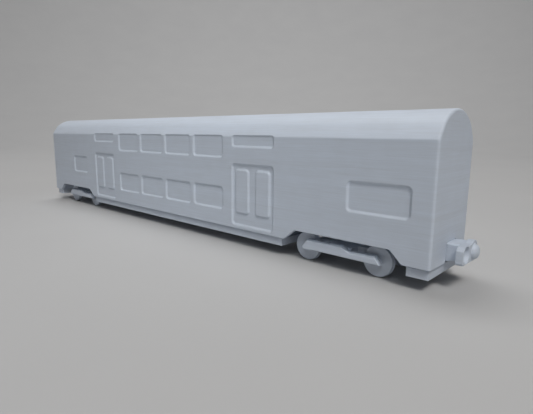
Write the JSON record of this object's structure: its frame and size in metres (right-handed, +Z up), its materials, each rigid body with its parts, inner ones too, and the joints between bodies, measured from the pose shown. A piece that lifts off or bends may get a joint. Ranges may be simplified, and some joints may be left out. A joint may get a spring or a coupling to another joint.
{
  "type": "model passenger coach",
  "caption": "H0-size double-deck model passenger coach: plain printed body with recessed windows and doors, swivelling two-axle bogies and swinging cone-and-cup couplers.",
  "frame": {"origin": "under the middle of the coach, at the bottom of the wheel flanges", "axes": "+X along the coach towards the front coupler, +Y across to its left side, +Z up"},
  "size_m": [0.2756, 0.028, 0.0532],
  "materials": {
    "printed_body": "filament-printed, matte, fine horizontal layer lines",
    "printed_frame": "filament-printed, matte, fine horizontal layer lines",
    "printed_wheel": "filament-printed, matte",
    "steel_axle": "drawn bright steel",
    "steel_ballast": "sawn flat bar",
    "steel_screw": "zinc plated"
  },
  "bodies": {
    "coach_body": {"body_shell": "printed_body", "underframe": "printed_frame", "ballast_bar": "steel_ballast", "ballast_screw_front": "steel_screw", "ballast_screw_rear": "steel_screw", "body_screw_front_left": "steel_screw", "body_screw_front_right": "steel_screw", "body_screw_rear_left": "steel_screw", "body_screw_rear_right": "steel_screw", "bogie_pivot_screw_front": "steel_screw", "bogie_pivot_screw_rear": "steel_screw", "bogie_pivot_washer_front": "steel_screw", "bogie_pivot_washer_rear": "steel_screw", "coupler_pivot_screw_front": "steel_screw", "coupler_pivot_screw_rear": "steel_screw"},
    "bogie_front": {"bogie_frame_front": "printed_frame"},
    "bogie_rear": {"bogie_frame_rear": "printed_frame"},
    "wheelset_front_leading": {"axle_front_leading": "steel_axle", "wheel_front_leading_left": "printed_wheel", "wheel_front_leading_right": "printed_wheel"},
    "wheelset_front_trailing": {"axle_front_trailing": "steel_axle", "wheel_front_trailing_left": "printed_wheel", "wheel_front_trailing_right": "printed_wheel"},
    "wheelset_rear_leading": {"axle_rear_leading": "steel_axle", "wheel_rear_leading_left": "printed_wheel", "wheel_rear_leading_right": "printed_wheel"},
    "wheelset_rear_trailing": {"axle_rear_trailing": "steel_axle", "wheel_rear_trailing_left": "printed_wheel", "wheel_rear_trailing_right": "printed_wheel"},
    "coupler_front_arm": {"coupler_front": "printed_frame"},
    "coupler_rear_arm": {"coupler_rear": "printed_frame"}
  },
  "joints": [
    {"name": "bogie_front_swivel", "type": "hinge", "parent": "coach_body", "child": "bogie_front", "pos_m": [0.0972, 0, 0.0092], "axis": [0, 0, 1], "range_deg": [-12, 12]},
    {"name": "bogie_rear_swivel", "type": "hinge", "parent": "coach_body", "child": "bogie_rear", "pos_m": [-0.0972, 0, 0.0092], "axis": [0, 0, 1], "range_deg": [-12, 12]},
    {"name": "wheelset_front_leading_spin", "type": "hinge", "parent": "bogie_front", "child": "wheelset_front_leading", "pos_m": [0.1112, 0, 0.00535], "axis": [0, 1, 0], "continuous": true},
    {"name": "wheelset_front_trailing_spin", "type": "hinge", "parent": "bogie_front", "child": "wheelset_front_trailing", "pos_m": [0.0832, 0, 0.00535], "axis": [0, 1, 0], "continuous": true},
    {"name": "wheelset_rear_leading_spin", "type": "hinge", "parent": "bogie_rear", "child": "wheelset_rear_leading", "pos_m": [-0.0832, 0, 0.00535], "axis": [0, 1, 0], "continuous": true},
    {"name": "wheelset_rear_trailing_spin", "type": "hinge", "parent": "bogie_rear", "child": "wheelset_rear_trailing", "pos_m": [-0.1112, 0, 0.00535], "axis": [0, 1, 0], "continuous": true},
    {"name": "coupler_front_swing", "type": "hinge", "parent": "coach_body", "child": "coupler_front_arm", "pos_m": [0.126, 0, 0.0104], "axis": [0, 0, 1], "range_deg": [-5, 5]},
    {"name": "coupler_rear_swing", "type": "hinge", "parent": "coach_body", "child": "coupler_rear_arm", "pos_m": [-0.126, 0, 0.0104], "axis": [0, 0, 1], "range_deg": [-5, 5]}
  ]
}
